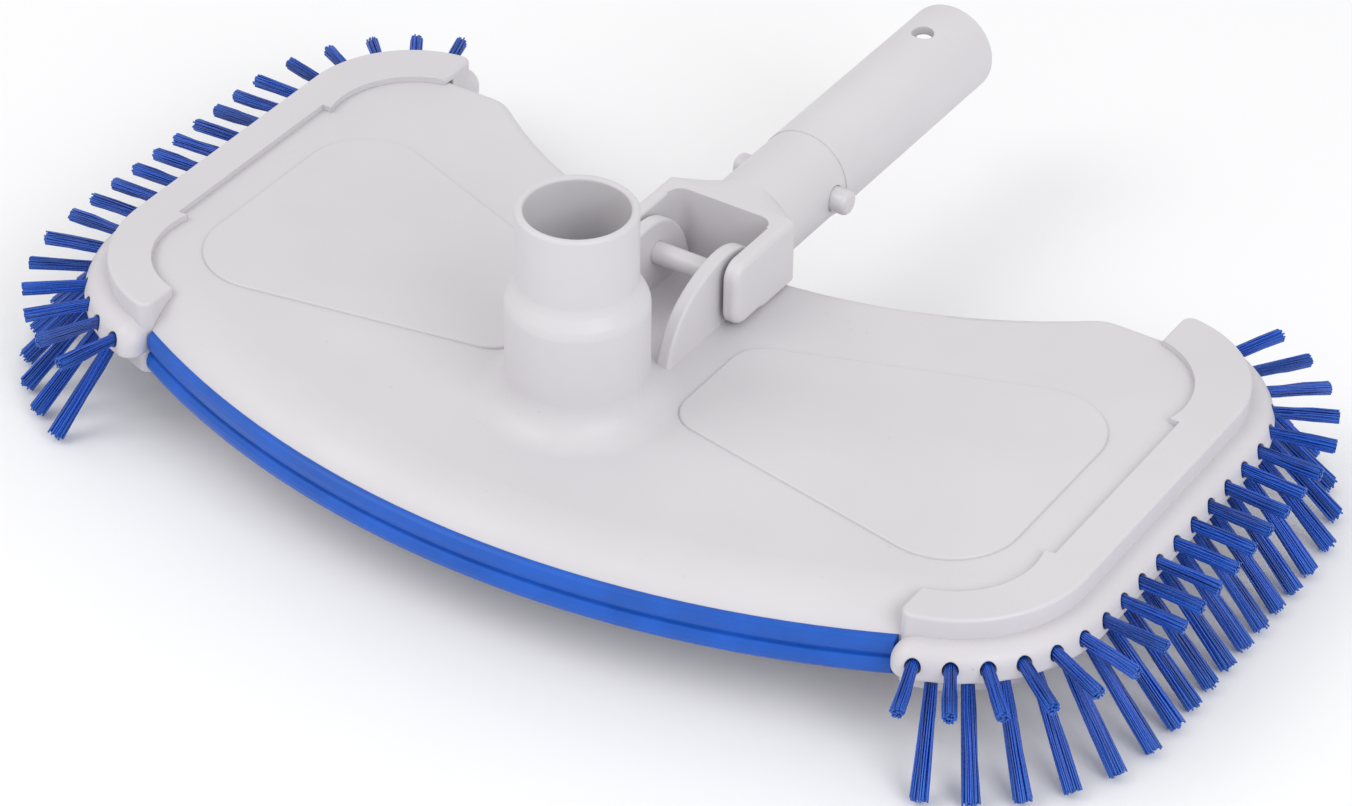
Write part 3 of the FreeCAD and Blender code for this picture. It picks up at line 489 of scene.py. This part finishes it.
def bristle_nylon(base):
    """Glossy nylon: each filament has its own tone and grows paler towards its tip."""
    material, tree, shader = new_material("bristle_nylon")
    tone = node(tree, "ShaderNodeAttribute", attribute_name="tone").outputs["Fac"]
    reach = node(tree, "ShaderNodeAttribute", attribute_name="reach").outputs["Fac"]
    # Paler towards the tip: over the last quarter of its length each filament is mixed up to 35% into the
    # tip colour.
    tip_paling = ramp(tree, reach, 0.75, 1.0, 0.0, 0.35)
    varied = mixed_colour(tree, tone, shaded(base, 0.55), shaded(base, 1.5))
    tip = node(tree, "ShaderNodeMix", data_type="RGBA")
    tip.inputs[7].default_value = (*BRISTLE_TIP_COLOUR, 1.0)
    tree.links.new(tip_paling, tip.inputs["Factor"])
    tree.links.new(varied, tip.inputs[6])
    tree.links.new(tip.outputs[2], shader.inputs["Base Color"])
    vector = object_coordinates(tree)
    streaks = noise(tree, vector, 1800.0, 3.0, 0.6)
    tree.links.new(ramp(tree, streaks, 0.3, 0.7, 0.2, 0.34), shader.inputs["Roughness"])
    tree.links.new(bump(tree, streaks, 0.15, 0.03 * MM), shader.inputs["Normal"])
    shader.inputs["IOR"].default_value = 1.53
    return material


class VACUUMHEAD_OT_bristles(bpy.types.Operator):
    """Model the tufts as bundles of nylon filaments and set them in every row"""

    bl_idname = "vacuum_head.bristles"
    bl_label = "Bristle tufts"

    def execute(self, context):
        settings = context.scene.vacuum_head_bristles
        draw = random.Random(settings.seed)
        bow = settings.bow
        hairs = [
            model_filament("hair_bowed", settings.filament_radius, (bow, bow)),
            model_filament("hair_wavy", settings.filament_radius, (bow, -bow)),
            model_filament("hair_straight", settings.filament_radius, (bow * 0.2, bow * 0.4)),
        ]
        material = bristle_nylon(tuple(context.scene.vacuum_head_finish.bristle_colour))
        used = list(hairs)
        for kind, names in BRISTLE_NODES.items():
            _, _, root_r, tip_r = tuft_axes(names[0])[0]
            flare = (tip_r - settings.stray) / root_r
            tufts = [model_tuft("%s_tuft_%d" % (kind, i), hairs, settings, flare, draw)
                     for i in range(settings.variants)]
            used += tufts
            for name in names:
                set_tufts(name, tufts, draw, material)
        for source in used:
            bpy.data.objects.remove(source, do_unlink=True)
        return {"FINISHED"}


def area_light(name, target, power, place, size, tone):
    bpy.ops.object.light_add(type="AREA", location=place)
    light = bpy.context.object
    light.name = name
    light.data.shape = "RECTANGLE"
    light.data.size = size[0]
    light.data.size_y = size[1]
    light.data.energy = power
    light.data.color = tone
    light.rotation_euler = (Vector(target) - Vector(place)).to_track_quat("-Z", "Y").to_euler()


class VACUUMHEAD_OT_stage(bpy.types.Operator):
    """Add the floor, the soft lights and the camera"""

    bl_idname = "vacuum_head.stage"
    bl_label = "Studio stage"

    def execute(self, context):
        settings = context.scene.vacuum_head_stage
        low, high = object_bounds()
        bpy.ops.mesh.primitive_plane_add(size=FLOOR_SIZE, location=(0.0, 0.0, low.z))
        floor = context.object
        floor.name = "studio_floor"
        bpy.ops.object.transform_apply(location=True, rotation=True, scale=True)
        floor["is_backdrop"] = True
        material, tree, shader = new_material("floor_paper")
        vector = object_coordinates(tree)
        paper = noise(tree, vector, 3.0, 2.0)
        base = tuple(settings.floor_colour)
        tint = mixed_colour(tree, paper, shaded(base, 0.99), shaded(base, 1.01))
        tree.links.new(tint, shader.inputs["Base Color"])
        shader.inputs["Roughness"].default_value = 0.7
        floor.data.materials.append(material)

        world = bpy.data.worlds.new("studio_light")
        world.use_nodes = True
        sky = world.node_tree.nodes["Background"]
        sky.inputs["Color"].default_value = (1.0, 1.0, 1.0, 1.0)
        sky.inputs["Strength"].default_value = settings.sky_strength
        context.scene.world = world

        middle = (low + high) / 2
        area_light("key_light", middle, settings.key_power, **KEY_LIGHT)
        area_light("fill_light", middle, settings.fill_power, **FILL_LIGHT)

        azimuth = settings.camera_azimuth
        elevation = settings.camera_elevation
        back = Vector((
            math.sin(azimuth) * math.cos(elevation),
            -math.cos(azimuth) * math.cos(elevation),
            math.sin(elevation),
        ))
        side = Vector((math.cos(azimuth), math.sin(azimuth), 0.0))
        upward = back.cross(side)
        facing = Matrix((side, upward, back)).transposed().to_4x4()
        turn = facing @ Matrix.Rotation(settings.camera_roll, 4, "Z")
        place = Vector(settings.camera_target) + back * settings.camera_distance
        bpy.ops.object.camera_add(location=place, rotation=turn.to_euler())
        camera = context.object
        camera.name = "camera"
        camera.data.sensor_width = SENSOR_WIDTH
        camera.data.lens = settings.camera_lens
        camera.data.clip_end = CLIP_END
        context.scene.camera = camera
        context.scene.view_settings.view_transform = "Standard"
        return {"FINISHED"}


class VACUUMHEAD_PT_panel(bpy.types.Panel):
    bl_idname = "VACUUMHEAD_PT_panel"
    bl_label = "Vacuum Head"
    bl_space_type = "VIEW_3D"
    bl_region_type = "UI"
    bl_category = "Vacuum Head"

    def draw(self, context):
        column = self.layout.column()
        for step in STEPS:
            column.operator(step.bl_idname)


STEPS = (VACUUMHEAD_OT_finishes, VACUUMHEAD_OT_bristles, VACUUMHEAD_OT_stage)
CLASSES = (VacuumHeadFinish, VacuumHeadBristles, VacuumHeadStage, *STEPS, VACUUMHEAD_PT_panel)


def register():
    for cls in CLASSES:
        bpy.utils.register_class(cls)
    bpy.types.Scene.vacuum_head_finish = bpy.props.PointerProperty(type=VacuumHeadFinish)
    bpy.types.Scene.vacuum_head_bristles = bpy.props.PointerProperty(type=VacuumHeadBristles)
    bpy.types.Scene.vacuum_head_stage = bpy.props.PointerProperty(type=VacuumHeadStage)


def unregister():
    del bpy.types.Scene.vacuum_head_stage
    del bpy.types.Scene.vacuum_head_bristles
    del bpy.types.Scene.vacuum_head_finish
    for cls in reversed(CLASSES):
        bpy.utils.unregister_class(cls)


def main():
    register()
    bpy.ops.vacuum_head.finishes()
    bpy.ops.vacuum_head.bristles()
    bpy.ops.vacuum_head.stage()


if __name__ == "__main__":
    main()
